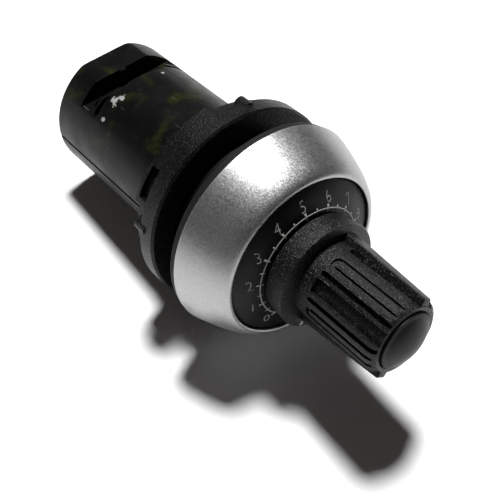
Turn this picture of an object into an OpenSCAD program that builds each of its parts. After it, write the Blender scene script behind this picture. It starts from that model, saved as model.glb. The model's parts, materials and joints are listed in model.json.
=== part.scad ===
// Rotary potentiometer for panel mounting, in millimetres.
// The spindle runs along Y: the knob faces -Y and the barrel runs back along +Y.
// The origin is on the spindle's axis, at the panel's front face.
// Stations along the spindle are counted towards the knob, so behind the panel they are negative.

/* [Panel neck and seal] */
// Radius of the neck that passes through the panel
neck_r = 11; // [10.6:0.1:11.1]
// Length of the neck behind the panel's front face
neck_l = 11; // [10:0.5:12]
// Radius of the cavity in the neck
neck_bore_r = 8.9; // [8.8:0.05:9.2]
// Length of the neck's plain collar, which sits in the panel's hole
collar_l = 3; // [2.5:0.1:3.2]
// Depth of the grooves in the neck on both sides of the collar
neck_groove = 0.5; // [0.4:0.05:0.6]
// Width of the groove between the collar and the thread
neck_groove_w = 0.8; // [0.7:0.05:1]
// Step from the bezel's rear edge in to the panel seal's edge
seal_step = 0.25; // [0.1:0.05:0.5]
// Thickness of the panel seal
seal_t = 1.3; // [1:0.1:2]

/* [Bezel] */
// Outer radius of the bezel at its rear edge
bezel_r = 14.85; // [14.6:0.05:15.4]
// Depth of the bezel from its rear edge to its front lip
bezel_depth = 6.86; // [6.4:0.05:7.4]
// Radius of the bezel's opening round the dial
bezel_lip_r = 11.24; // [11.1:0.02:11.5]
// Width of the bezel's flat at its rear edge
bezel_wall = 1.4; // [1.2:0.1:1.8]
// Depth of the straight wall inside the bezel
bezel_inner_depth = 2.3; // [1.8:0.1:2.6]

/* [Dial] */
// Radius of the dial plate
dial_r = 11.1; // [10.9:0.02:11.1]
// Thickness of the dial plate at its rim
dial_rim_t = 1; // [0.8:0.1:1.3]
// Radius where the dial's cone meets its flat hub
dial_hub_r = 7.78; // [7.4:0.02:8.2]
// Rise of the dial's cone from its rim to its hub
dial_rise = 1.3; // [1:0.1:1.6]
// Radius of the hole in the dial for the spindle
dial_hole_r = 2.8; // [2.6:0.1:3.2]
// Bevel round the rim of the dial
dial_bevel = 0.25; // [0.1:0.05:0.4]

/* [Knob skirt] */
// Radius of the knob's skirt at its front rim
skirt_r = 7.5; // [7.2:0.1:7.7]
// Length of the knob's skirt
skirt_l = 3.1; // [2.6:0.1:3.6]
// Gap between the dial and the knob's skirt
skirt_gap = 0.3; // [0.25:0.05:0.5]

/* [Knob grip] */
// Length of the grip in front of the skirt
grip_l = 13; // [11:0.1:15]
// Length of the round collar at the grip's base, where the flutes begin
grip_collar_l = 2; // [1.6:0.1:2.4]
// Bevel round the grip's front end
grip_bevel = 0.3; // [0.2:0.05:0.5]
// Radius of the two wings where they meet the skirt
wing_r = 6.25; // [6:0.05:6.6]
// Radius of the two wings at the front end of the grip
wing_end_r = 5.55; // [5.4:0.05:6]
// Thickness of each wing where it meets the skirt
wing_t = 2.1; // [1.6:0.1:2.6]
// Thickness of each wing at the front end of the grip
wing_end_t = 1.5; // [1.2:0.1:2]
// Radius of the raised lands between the flutes
land_r = 5.3; // [5.1:0.05:5.6]
// Radius at the bottom of the deep flutes
flute_r = 4.6; // [4.5:0.05:4.8]
// Width of the narrow ribs
rib_w = 0.8; // [0.6:0.1:1]
// Depth of the grooves beside the ribs
groove_depth = 0.35; // [0.2:0.05:0.5]
// Width of the grooves beside the ribs
groove_w = 0.5; // [0.3:0.05:0.7]
// Angle of the knob's pointer from the top, with the knob against its first stop
pointer_angle = -139; // [-145:1:-130]
// Radius of the pocket for the collet
pocket_r = 3.9; // [3.8:0.05:4]

/* [Knob cap] */
// Height of the cap's domed end above the grip
cap_h = 1.55; // [1.2:0.05:2]
// Height of the cap's straight side above the grip
cap_side_h = 0.3; // [0.1:0.05:0.5]
// Length of the cap in the knob's pocket
cap_spigot_l = 2.2; // [1.6:0.1:2.4]
// Bevel round the mouth of the cap's pocket
mouth_bevel = 0.2; // [0.1:0.05:0.4]

/* [Spindle] */
// Radius of the spindle
spindle_r = 2; // [1.9:0.05:2.1]
// Length of the spindle in front of the panel
spindle_front = 21; // [20.6:0.1:21.4]
// Length of the spindle behind the panel
spindle_rear = 4; // [3.9:0.05:4.1]
// Radius of the collet
collet_r = 3.1; // [2.9:0.05:3.2]
// Length of the collet
collet_l = 10.4; // [10:0.1:10.8]
// Width of the slits in the collet
collet_slit = 0.5; // [0.4:0.05:0.6]
// Thickness of the collet's nut
collet_nut_t = 2.2; // [1.8:0.1:2.4]
// Radius of the retaining clip
clip_r = 2.6; // [2.4:0.05:2.7]
// Radius at the bottom of the groove for the clip
clip_groove_r = 1.6; // [1.5:0.05:1.7]
// Width of the retaining clip's mouth
clip_mouth = 1.6; // [1.2:0.1:2]
// Thickness of the retaining clip
clip_t = 0.5; // [0.4:0.05:0.6]

/* [Potentiometer] */
// Radius of the potentiometer's case
case_r = 8; // [7.8:0.05:8.2]
// Depth of the potentiometer's case
case_depth = 9; // [8.8:0.1:9.4]
// Wall of the potentiometer's case
case_wall = 0.6; // [0.5:0.05:0.8]
// Station of the front body's web, where the case seats
web_rear = 2; // [1.9:0.05:2.2]
// Thickness of the front body's web
web_t = 2.5; // [2.3:0.1:2.6]
// Radius of the potentiometer's threaded bushing
bushing_r = 3.5; // [3.4:0.05:3.6]
// Thickness of the bushing's flange
bushing_flange_t = 1.2; // [1:0.1:1.4]
// Radius of the bushing's flange
bushing_flange_r = 4.5; // [4.2:0.1:5]
// Distance across the flats of the bushing's nut
pot_nut_af = 10; // [9.5:0.1:10.5]
// Thickness of the bushing's nut
pot_nut_t = 2; // [1.8:0.1:2.2]
// Thickness of the lock washer
washer_t = 0.5; // [0.4:0.05:0.6]
// Number of teeth on the lock washer
washer_teeth = 10; // [6:1:14]
// Thickness of the resistive track plate
track_t = 1; // [0.8:0.05:1.2]
// Radius of the wiper's carrier
carrier_r = 5.8; // [5.4:0.1:6.2]
// Thickness of the wiper's carrier
carrier_t = 1.5; // [1.3:0.05:1.6]
// Thickness of the wiper's spring
spring_t = 0.3; // [0.2:0.05:0.35]
// Radius of the spring's round middle
spring_r = 2.6; // [2.4:0.1:3]
// Width of each of the spring's fingers
finger_w = 0.9; // [0.7:0.1:1.2]
// Distance from the middle to each of the spring's fingers
finger_x = 1.4; // [1.2:0.1:1.6]

/* [Barrel] */
// Radius of the rear barrel
barrel_r = 9.95; // [9.85:0.05:10.2]
// Length behind the panel's front face
barrel_l = 34.7; // [34:0.1:38]
// Wall round the barrel's cavity
barrel_wall = 1.75; // [1.6:0.05:1.8]
// Length of the barrel's spigot in the neck
spigot_l = 3; // [2.4:0.1:3.4]
// Rounding of the barrel's rear edge
barrel_round = 0.5; // [0.3:0.1:0.8]
// Height of the flat on top of the barrel's rear end
flat_h = 8.99; // [8.8:0.05:9.3]
// Length of the flat from the rear face
flat_l = 9.3; // [9.1:0.1:10]
// Height of the wiring slot's floor above the axis
slot_floor_h = 6.4; // [6.2:0.05:6.6]
// Length of the roof behind the wiring slot
hood_l = 4.8; // [4.4:0.1:5.2]
// Width of the wiring slot along the barrel
slot_w = 3.9; // [3.6:0.1:4.2]
// Thickness of the lip inside the slot
lip_t = 0.4; // [0.3:0.05:0.6]
// Distance from the slot's front wall to its lip
lip_inset = 0.75; // [0.6:0.05:0.8]
// Height of the slot's lip
lip_h = 1.9; // [1.5:0.1:2.2]
// Radius of the small nub on the edge of the roof
nub_r = 0.5; // [0.3:0.05:0.7]
// Width of the moulding line along the barrel
seam_w = 0.5; // [0.3:0.1:0.8]
// Depth of the moulding line along the barrel
seam_depth = 0.15; // [0.1:0.05:0.2]

/* [Terminals] */
// Distance from terminal to terminal
terminal_pitch = 5; // [4.9:0.05:5]
// Radius of each wire hole
wire_r = 1.1; // [1:0.05:1.15]
// Width of each terminal pocket
pocket_w = 4.2; // [4:0.05:4.3]
// Height of the terminal pockets' top above the axis
pocket_top = 4; // [3.9:0.05:4.05]
// Depth of the terminal pockets' bottom below the axis
pocket_bottom = 2; // [1.9:0.05:2.1]
// Thickness of the barrel behind the terminal pockets
rear_wall = 3.5; // [3.3:0.1:3.7]
// Thickness of the terminal block
block_t = 2; // [1.6:0.1:2.4]
// Depth of the terminal pockets
pocket_depth = 7.2; // [7:0.1:7.3]
// Wall of each clamp cage
cage_wall = 0.6; // [0.5:0.05:0.7]
// Height of each clamp cage
cage_h = 5; // [4.8:0.05:5.1]
// Height of the clamp screws above the axis
screw_axis_h = 1.6; // [1.4:0.1:1.8]
// Radius of each clamp screw's shank
screw_r = 1.5; // [1.4:0.05:1.6]
// Radius of each clamp screw's head
screw_head_r = 2; // [1.9:0.05:2.05]
// Height of each clamp screw's head
screw_head_h = 1.6; // [1.4:0.1:1.8]
// Width of each clamp screw's driver slot
driver_slot_w = 0.6; // [0.5:0.05:0.8]
// Depth of the screw seats' floor from the barrel's rear face
screw_seat = 2.7; // [2.5:0.1:2.8]
// Width of each solder tag
tag_w = 1.6; // [1.4:0.1:1.8]
// Thickness of each solder tag
tag_t = 0.4; // [0.3:0.05:0.5]
// Depth of the solder tags below the axis
tag_drop = 1.6; // [1.55:0.01:1.65]
// Height of each tag's blade
tag_blade_h = 5; // [4.8:0.1:5.2]

/* [Ring nut] */
// Outer radius of the ring nut's flange
nut_r = 14.45; // [14:0.05:14.8]
// Thickness of the ring nut's flange
nut_flange_t = 2.6; // [2.2:0.1:3]
// Thickness of the ring nut from face to face
nut_t = 4.9; // [4.4:0.1:5.4]
// Radius of the ring nut's rear band
nut_band_r = 13.2; // [12.8:0.1:13.4]
// Free space between the panel seal and the ring nut as shown
nut_gap = 3.9; // [3:0.1:5]
// Number of wide blocks behind the ring nut's flange
nut_blocks = 3; // [2:1:4]
// Step from the band's rear face to the blocks' rear faces
block_step = 0.2; // [0.1:0.05:0.4]
// Angle that each wide block covers
nut_block_angle = 60; // [50:1:70]
// Radius of the wide blocks
nut_block_r = 14.3; // [14:0.05:14.4]
// Angle that the pocket in each wide block covers
nut_pocket_angle = 18; // [12:1:20]
// Wall round the pocket in each wide block
nut_pocket_wall = 0.5; // [0.3:0.1:0.8]
// Depth of the pocket in each wide block
nut_pocket_depth = 0.8; // [0.5:0.1:1]
// Number of half-round lugs behind the flange
lug_n = 4; // [2:1:6]
// Radius of the half-round lugs
lug_r = 0.95; // [0.8:0.05:1.1]
// Radius that the half-round lugs reach
lug_reach_r = 14.65; // [14.55:0.05:14.9]
// Length of the half-round lugs behind the flange
lug_l = 1.1; // [0.9:0.1:1.6]

/* [Fits] */
// Running clearance round the spindle and the ring nut
running = 0.05; // [0.03:0.01:0.08]
// Clearance between moulded parts that push together
push = 0.05; // [0.03:0.01:0.08]
// Clearance of metal parts that grip each other
snug = 0.02; // [0.01:0.01:0.04]
// Clearance round the parts inside the bezel
inside_gap = 0.15; // [0.1:0.01:0.2]

/* [Hidden] */
$fn = 96;
eps = 0.01;

// Stations along the spindle, from the front to the rear
bezel_rear = seal_t;
lip_front = bezel_rear + bezel_depth;
dial_seat = lip_front - dial_rim_t - 0.16;
dial_top = dial_seat + dial_rim_t + dial_rise;
skirt_rear = dial_top + skirt_gap;
skirt_front = skirt_rear + skirt_l;
grip_front = skirt_front + grip_l;
web_front = web_rear + web_t;
nut_seat = web_front + washer_t;
bushing_front = nut_seat + pot_nut_t + 0.4;
case_rear = web_rear - case_depth;
track_front = case_rear + track_t;
carrier_rear = -spindle_rear;
nut_front = -nut_gap;
nut_rear = nut_front - nut_t;
slot_rear = hood_l - barrel_l;
slot_front = slot_rear + slot_w;
pocket_rear = rear_wall - barrel_l;
pocket_front = pocket_rear + pocket_depth;
block_front = pocket_front + block_t;
cage_front = pocket_front - 1.4;
seat_station = screw_seat - barrel_l;

// Radii and heights that follow from the sizes above
seal_r = bezel_r - seal_step;
neck_groove_r = neck_r - neck_groove;
cavity_r = barrel_r - barrel_wall;
front_body_r = bezel_r - bezel_wall - inside_gap;
case_inner_r = case_r - case_wall;
seal_groove_r = 5.4;
seal_section_r = (skirt_gap + 0.6 - running) / 2;
seal_groove_floor = dial_top - 0.6;
hub_ceiling = seal_groove_floor - 0.4;
terminal_x = [for (i = [-1:1]) i * terminal_pitch];
cage_x = pocket_w - 0.2;
cage_top = pocket_top - 0.1;
flute_start = skirt_front + grip_collar_l;
spring_end = carrier_r - 0.4;
edge = 0.3;
play = 0.1;
wire_station = slot_rear + nub_r + wire_r;
nut_block_middle = -32;
first_lug = 17;
nut_bevel = 0.3;

// Turns a shape built upwards so that it runs forwards along the spindle
module forward() {
    rotate([90, 0, 0]) children();
}

// Revolves an outline of radius and station round the spindle
module turned(outline) {
    forward() rotate_extrude($fn = 128) polygon(outline);
}

// A round bar from one station to another
module bar(r, from, to) {
    forward() translate([0, 0, from]) cylinder(r = r, h = to - from);
}

// A round bar parallel to the spindle at a given place across it
module bar_at(x, z, r, from, to) {
    translate([x, 0, z]) bar(r, from, to);
}

// A block given by its width, its heights above the axis and its stations
module block(x, w, bottom, top, from, to) {
    translate([x - w / 2, -to, bottom]) cube([w, to - from, top - bottom]);
}

// An arc of points from one angle to another
function arc(cx, cy, r, a0, a1, n) =
    [for (i = [0:n]) let (a = a0 + (a1 - a0) * i / n) [cx + r * cos(a), cy + r * sin(a)]];

// Points on a curve with two handles between two ends
function curve(p0, p1, p2, p3, n) =
    [for (i = [0:n]) let (t = i / n, u = 1 - t)
        u * u * u * p0 + 3 * u * u * t * p1 + 3 * u * t * t * p2 + t * t * t * p3];

// The satin ring round the dial
module bezel() {
    rear = [bezel_r, bezel_rear];
    lip = [bezel_lip_r, lip_front];
    rear_pull = [bezel_r - 0.34, bezel_rear + 0.18 * bezel_depth];
    lip_pull = [bezel_lip_r + 1.19, lip_front + 1.11];
    color([0.66, 0.67, 0.69]) turned(concat(
        curve(rear, rear_pull, lip_pull, lip, 20),
        [
            [bezel_lip_r, dial_seat - 0.4],
            [front_body_r + inside_gap, bezel_rear + bezel_inner_depth],
            [front_body_r + inside_gap, bezel_rear]
        ]));
}

// The plate that carries the scale
module dial_plate() {
    top_rim = dial_seat + dial_rim_t;
    color([0.07, 0.07, 0.075]) difference() {
        turned([
            [dial_hole_r, hub_ceiling],
            [dial_hub_r - 1.2, hub_ceiling],
            [dial_hub_r, dial_seat],
            [dial_r, dial_seat],
            [dial_r, top_rim - dial_bevel],
            [dial_r - dial_bevel, top_rim],
            [dial_hub_r, dial_top],
            [dial_hole_r, dial_top]
        ]);
        turned([
            [seal_groove_r - seal_section_r, seal_groove_floor],
            [seal_groove_r + seal_section_r, seal_groove_floor],
            [seal_groove_r + seal_section_r, dial_top + eps],
            [seal_groove_r - seal_section_r, dial_top + eps]
        ]);
    }
}

// The ring that wipes the underside of the knob
module shaft_seal() {
    color([0.1, 0.1, 0.1]) forward()
        translate([0, 0, seal_groove_floor + seal_section_r])
            rotate_extrude() translate([seal_groove_r, 0]) circle(r = seal_section_r, $fn = 32);
}

// The front moulding: head, web and neck in one piece, with a plain collar in front of the thread
module front_body() {
    collar_rear = -play - collar_l;
    thread_front = collar_rear - neck_groove_w;
    color([0.08, 0.08, 0.085]) turned([
        [neck_bore_r, -neck_l],
        [neck_groove_r, -neck_l],
        [neck_r, neck_groove - neck_l],
        [neck_r, thread_front],
        [neck_groove_r, thread_front],
        [neck_groove_r, collar_rear],
        [neck_r, collar_rear],
        [neck_r, -play],
        [neck_groove_r, -play],
        [neck_groove_r, bezel_rear],
        [front_body_r, bezel_rear],
        [front_body_r, bezel_rear + bezel_inner_depth - push],
        [bezel_lip_r - inside_gap, dial_seat - 0.4 - inside_gap],
        [bezel_lip_r - inside_gap, dial_seat],
        [dial_hub_r + 0.8, dial_seat],
        [dial_hub_r + 0.8, web_front],
        [bushing_r + running, web_front],
        [bushing_r + running, web_rear],
        [neck_bore_r, web_rear]
    ]);
}

// The flat gasket between the bezel and the panel
module panel_seal() {
    color([0.2, 0.2, 0.21]) turned([
        [neck_r + push, 0],
        [seal_r - edge, 0],
        [seal_r, edge],
        [seal_r, seal_t],
        [neck_r + push, seal_t]
    ]);
}

// The rear moulding: a round barrel with a wiring slot across its top
module rear_barrel() {
    color([0.09, 0.09, 0.09]) difference() {
        turned(concat(
            arc(barrel_r - barrel_round, barrel_round - barrel_l, barrel_round, -90, 0, 6),
            [
                [barrel_r, -neck_l],
                [neck_bore_r - push, -neck_l],
                [neck_bore_r - push, spigot_l - neck_l],
                [cavity_r, spigot_l - neck_l],
                [cavity_r, pocket_front],
                [0, pocket_front],
                [0, -barrel_l]
            ]));
        block(0, 3 * barrel_r, flat_h, 2 * barrel_r, -barrel_l - 1, flat_l - barrel_l);
        difference() {
            block(0, 3 * barrel_r, slot_floor_h, 2 * barrel_r, slot_rear, slot_front);
            block(0, 2 * barrel_r - 2 * lip_h - 2, slot_floor_h - 1, slot_floor_h + lip_h,
                slot_front - lip_inset - lip_t, slot_front - lip_inset);
            translate([0, -slot_rear, slot_floor_h])
                cylinder(r = nub_r, h = flat_h - slot_floor_h, $fn = 24);
        }
        for (x = terminal_x) {
            block(x, pocket_w, -pocket_bottom, pocket_top, pocket_rear, pocket_front + eps);
            translate([x, -wire_station, 0]) cylinder(r = wire_r, h = slot_floor_h + 1);
            bar_at(x, screw_axis_h, screw_head_r + 0.2, -barrel_l - 1, seat_station);
            bar_at(x, screw_axis_h, screw_r + 0.1, -barrel_l, pocket_rear + 1);
        }
        for (side = [-1, 1])
            translate([side * barrel_r, 0, 0])
                block(0, 2 * seam_depth, -seam_w / 2, seam_w / 2, -barrel_l - 1, -neck_l - 1);
    }
}

// The potentiometer's pressed case, open at the rear
module pot_case() {
    color([0.62, 0.63, 0.65]) turned([
        [bushing_r + running, web_rear],
        [case_r, web_rear],
        [case_r, case_rear],
        [case_inner_r, case_rear],
        [case_inner_r, web_rear - case_wall],
        [bushing_r + running, web_rear - case_wall]
    ]);
}

// The threaded bushing that carries the spindle
module pot_bushing() {
    flange_front = web_rear - case_wall;
    color([0.72, 0.6, 0.34]) turned([
        [spindle_r + running, flange_front - bushing_flange_t],
        [bushing_flange_r, flange_front - bushing_flange_t],
        [bushing_flange_r, flange_front],
        [bushing_r, flange_front],
        [bushing_r, bushing_front - edge],
        [bushing_r - edge, bushing_front],
        [spindle_r + running, bushing_front]
    ]);
}

// The nut that clamps the potentiometer to the web
module pot_nut() {
    color([0.7, 0.7, 0.72]) difference() {
        forward() translate([0, 0, nut_seat])
            cylinder(r = pot_nut_af / 2 / cos(30), h = pot_nut_t, $fn = 6);
        bar(bushing_r + running, nut_seat - 1, nut_seat + pot_nut_t + 1);
    }
}

// The toothed washer under the nut
module pot_lockwasher() {
    tooth = [1.1, 1.2];
    color([0.65, 0.65, 0.66]) difference() {
        bar(pot_nut_af / 2 + 0.6, web_front, nut_seat);
        bar(bushing_r + running, web_front - 1, nut_seat + 1);
        for (i = [0:washer_teeth - 1])
            rotate([0, i * 360 / washer_teeth, 0])
                block(0, tooth.x, pot_nut_af / 2 + 0.6 - tooth.y, pot_nut_af, web_front - 1, nut_seat + 1);
    }
}

// The insulating plate with the carbon track, closing the case
module track_plate() {
    color([0.45, 0.28, 0.16]) turned([
        [0, case_rear],
        [case_inner_r - push, case_rear],
        [case_inner_r - push, track_front - 0.2],
        [case_inner_r - 0.8, track_front - 0.2],
        [case_inner_r - 0.8, track_front],
        [4.4, track_front],
        [4.4, track_front - 0.2],
        [0, track_front - 0.2]
    ]);
}

// The moulded disc that turns the wiper
module wiper_carrier() {
    color([0.85, 0.83, 0.76]) turned([
        [spindle_r + snug, carrier_rear],
        [carrier_r, carrier_rear],
        [carrier_r, carrier_rear + carrier_t - 0.4],
        [carrier_r - 0.4, carrier_rear + carrier_t],
        [spindle_r + snug, carrier_rear + carrier_t]
    ]);
}

// The springy contact: a bridge with two bent fingers that reach the track
module wiper_spring() {
    rear = carrier_rear - spring_t;
    reach = track_front + running;
    color([0.8, 0.68, 0.36]) rotate([0, pointer_angle, 0]) {
        bar(spring_r, rear, carrier_rear);
        for (side = [-1, 1])
            translate([side * finger_x, 0, 0]) {
                block(0, finger_w, 0, spring_end, rear, carrier_rear);
                block(0, finger_w, spring_end - spring_t, spring_end, reach, carrier_rear);
            }
    }
}

// The spindle, with a groove for its clip
module pot_shaft() {
    groove_rear = bushing_front + running;
    color([0.7, 0.7, 0.72]) turned([
        [0, carrier_rear],
        [spindle_r, carrier_rear],
        [spindle_r, groove_rear],
        [clip_groove_r, groove_rear],
        [clip_groove_r, groove_rear + clip_t],
        [spindle_r, groove_rear + clip_t],
        [spindle_r, spindle_front - edge],
        [spindle_r - edge, spindle_front],
        [0, spindle_front]
    ]);
}

// The clip that keeps the spindle in its bushing
module shaft_circlip() {
    groove_rear = bushing_front + running;
    color([0.35, 0.36, 0.38]) difference() {
        bar(clip_r, groove_rear, groove_rear + clip_t);
        bar(clip_groove_r, groove_rear - 1, groove_rear + clip_t + 1);
        block(0, clip_mouth, 0, clip_r, groove_rear - 1, groove_rear + clip_t + 1);
    }
}

// The slit sleeve that grips the spindle inside the knob
module collet() {
    rear = skirt_rear + edge;
    front = rear + collet_l;
    color([0.78, 0.64, 0.34]) difference() {
        turned([
            [spindle_r + snug, rear],
            [collet_r - edge, rear],
            [collet_r, rear + edge],
            [collet_r, front],
            [spindle_r + snug, front]
        ]);
        for (a = [0, 90])
            rotate([0, a, 0])
                block(0, collet_slit, -collet_r - 1, collet_r + 1, rear - 1, rear + 0.6 * collet_l);
    }
}

// The nut that draws the collet tight
module collet_nut() {
    rear = skirt_rear + edge + collet_l;
    color([0.78, 0.64, 0.34]) difference() {
        forward() translate([0, 0, rear]) cylinder(r = pocket_r - play, h = collet_nut_t, $fn = 6);
        bar(spindle_r + snug, rear - 1, rear + collet_nut_t + 1);
    }
}

// The cross-section of the grip without its wings, on one side of the wings
module grip_outline() {
    ridge = 14;
    ridge_half = 2.5;
    land = [24, 67];
    rib = 41;
    wing_side = 92;
    difference() {
        circle(r = land_r);
        for (side = [0, 180])
            rotate(side) {
                for (s = [-1, 1]) {
                    rotate(s * (ridge + ridge_half + land[0]) / 2) flute(land[0] - ridge - ridge_half);
                    rotate(s * (land[1] + wing_side) / 2) flute(wing_side - land[1]);
                    for (g = [-1, 1])
                        rotate(s * rib + g * rib_angle())
                            translate([land_r - groove_depth, -groove_w / 2])
                                square([1, groove_w]);
                }
                flute(2 * (ridge - ridge_half));
            }
    }
}

// Half the angle between the two grooves beside a rib
function rib_angle() = asin((rib_w + groove_w) / 2 / land_r);

// A sector between the bottom of a flute and well outside the grip
module flute(angle) {
    polygon(concat(
        arc(0, 0, flute_r, -angle / 2, angle / 2, 8),
        arc(0, 0, land_r + 1, angle / 2, -angle / 2, 8)));
}

// The knob: a skirt with a fluted, winged grip and a pocket for the collet
module knob() {
    color([0.07, 0.07, 0.07]) difference() {
        union() {
            turned([
                [0, skirt_rear],
                [skirt_r - edge, skirt_rear],
                [skirt_r, skirt_front - edge],
                [skirt_r - edge, skirt_front],
                [0, skirt_front]
            ]);
            rotate([0, pointer_angle, 0]) {
                fluted_grip();
                wings();
            }
        }
        bar(collet_r + running, skirt_rear - 1, grip_front);
        bar(pocket_r, skirt_rear + edge + collet_l - 1, grip_front + 1);
        turned([
            [0, grip_front - mouth_bevel],
            [pocket_r, grip_front - mouth_bevel],
            [pocket_r + mouth_bevel + eps, grip_front + eps],
            [0, grip_front + eps]
        ]);
    }
}

// The round collar at the grip's base and the fluted length in front of it
module fluted_grip() {
    turned([
        [0, skirt_front - 1],
        [land_r, skirt_front - 1],
        [land_r, flute_start],
        [flute_r - eps, flute_start + land_r - flute_r],
        [0, flute_start + land_r - flute_r]
    ]);
    intersection() {
        forward() translate([0, 0, flute_start - 1])
            linear_extrude(grip_l) grip_outline();
        turned([
            [0, flute_start - 1],
            [land_r + 1, flute_start - 1],
            [land_r + 1, grip_front - grip_bevel - 1],
            [land_r - grip_bevel, grip_front],
            [0, grip_front]
        ]);
    }
}

// The two wings, which grow thinner and lower towards the front
module wings() {
    front = grip_front - play;
    intersection() {
        translate([0, 0, -2 * wing_r]) linear_extrude(4 * wing_r) polygon([
            [-wing_t / 2, 1 - skirt_front],
            [wing_t / 2, 1 - skirt_front],
            [wing_end_t / 2, -front],
            [-wing_end_t / 2, -front]
        ]);
        turned([
            [0, skirt_front - 1],
            [wing_r, skirt_front - 1],
            [wing_end_r, front - edge],
            [wing_end_r - edge, front],
            [0, front]
        ]);
    }
}

// The smooth domed cap that closes the knob
module knob_cap() {
    cap_r = pocket_r - push;
    sag = cap_h - cap_side_h;
    dome_r = (cap_r * cap_r + sag * sag) / (2 * sag);
    half = asin(cap_r / dome_r);
    crown = 6;
    color([0.16, 0.16, 0.17]) turned(concat(
        [[0, grip_front - cap_spigot_l], [cap_r, grip_front - cap_spigot_l]],
        arc(0, grip_front + cap_h - dome_r, dome_r, 90 - half, 90 - crown, 11),
        [[0, grip_front + cap_h - dome_r * (1 - cos(crown))]]));
}

// The insulating disc that closes the terminal pockets
module terminal_block() {
    color([0.55, 0.5, 0.42]) difference() {
        bar(cavity_r - push, pocket_front, block_front);
        for (x = terminal_x)
            block(x, tag_w + 0.2, -tag_drop - tag_t / 2 - 0.05, -tag_drop + tag_t / 2 + 0.05,
                pocket_front - 1, block_front + 1);
    }
}

// One tag: a strip from the track to its pocket, bent up behind the cage's front wall
module solder_tag(x) {
    blade_front = cage_front - cage_wall - 0.05;
    color([0.75, 0.72, 0.65]) {
        block(x, tag_w, -tag_drop - tag_t / 2, -tag_drop + tag_t / 2, blade_front - tag_t, case_rear);
        block(x, tag_w + 0.8, -tag_drop - tag_t / 2, tag_blade_h - tag_drop, blade_front - tag_t, blade_front);
    }
}

// One cage: a square frame that the screw draws against the wire
module clamp_cage(x) {
    rear = pocket_rear + 0.2;
    color([0.74, 0.66, 0.4]) difference() {
        block(x, cage_x, cage_top - cage_h, cage_top, rear, cage_front);
        block(x, cage_x - 2 * cage_wall, cage_top - cage_h - 1, cage_top + 1, rear + 2 * cage_wall,
            cage_front - cage_wall);
        bar_at(x, screw_axis_h, screw_r + snug, rear - 1, rear + 2 * cage_wall + 0.5);
    }
}

// One clamp screw, with its head on the floor of its recess
module clamp_screw(x) {
    color([0.76, 0.76, 0.78]) difference() {
        union() {
            bar_at(x, screw_axis_h, screw_head_r, seat_station - screw_head_h, seat_station);
            bar_at(x, screw_axis_h, screw_r, seat_station - eps, pocket_rear + 1.5);
        }
        block(x, driver_slot_w, screw_axis_h - 3, screw_axis_h + 3, seat_station - screw_head_h - 1,
            seat_station - screw_head_h + 0.8);
    }
}

// The nut behind the panel: a flange with wide blocks and half-round lugs behind it
module ring_nut() {
    flange_rear = nut_front - nut_flange_t;
    inside_flange = flange_rear + nut_flange_t / 3;
    color([0.1, 0.1, 0.105]) difference() {
        union() {
            turned([
                [neck_r - 1, nut_rear],
                [nut_band_r, nut_rear],
                [nut_band_r, flange_rear],
                [nut_r, flange_rear],
                [nut_r, nut_front - nut_bevel],
                [nut_r - nut_bevel, nut_front],
                [neck_r - 1, nut_front]
            ]);
            for (i = [0:nut_blocks - 1])
                rotate([0, nut_block_middle + i * 360 / nut_blocks, 0])
                    nut_block(nut_rear + block_step, inside_flange);
            for (i = [0:lug_n - 1])
                rotate([0, first_lug + i * 360 / lug_n, 0])
                    bar_at(0, lug_reach_r - lug_r, lug_r, flange_rear - lug_l, inside_flange);
        }
        bar(neck_r + running, nut_rear - 1, nut_front + 1);
    }
}

// One wide block, centred on the top, with a pocket near its anticlockwise end
module nut_block(from, to) {
    end_wall = asin(nut_pocket_wall / nut_block_r) + 1;
    difference() {
        intersection() {
            bar(nut_block_r, from, to);
            forward() translate([0, 0, from - 1])
                linear_extrude(to - from + 2) rotate(90) sector(nut_block_angle);
        }
        forward() translate([0, 0, from + nut_pocket_wall])
            linear_extrude(nut_t - nut_flange_t - nut_pocket_wall)
                rotate(90 + nut_block_angle / 2 - end_wall - nut_pocket_angle / 2)
                    difference() {
                        sector(nut_pocket_angle);
                        circle(r = nut_block_r - nut_pocket_depth);
                    }
    }
}

// A wedge from the axis to well outside the nut
module sector(angle) {
    reach = 2 * nut_r;
    half = angle / 2;
    polygon([
        [0, 0],
        [reach * cos(half), -reach * sin(half)],
        [reach * cos(half), reach * sin(half)]
    ]);
}

knob();
knob_cap();
collet();
collet_nut();
pot_shaft();
shaft_circlip();
wiper_carrier();
wiper_spring();
bezel();
dial_plate();
front_body();
panel_seal();
shaft_seal();
rear_barrel();
pot_case();
pot_bushing();
pot_nut();
pot_lockwasher();
track_plate();
terminal_block();
solder_tag(terminal_x[0]);  // solder_tag_left
solder_tag(terminal_x[1]);  // solder_tag_middle
solder_tag(terminal_x[2]);  // solder_tag_right
clamp_cage(terminal_x[0]);  // clamp_cage_left
clamp_cage(terminal_x[1]);  // clamp_cage_middle
clamp_cage(terminal_x[2]);  // clamp_cage_right
clamp_screw(terminal_x[0]);  // clamp_screw_left
clamp_screw(terminal_x[1]);  // clamp_screw_middle
clamp_screw(terminal_x[2]);  // clamp_screw_right
ring_nut();
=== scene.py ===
"""Finishes a panel-mounted rotary potentiometer: fine shapes, mouldings, print, metals and a plain stage."""

import json
import math

import bmesh
import bpy
from bpy.props import FloatProperty, FloatVectorProperty, IntProperty, PointerProperty
from mathutils import Matrix, Vector


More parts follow.
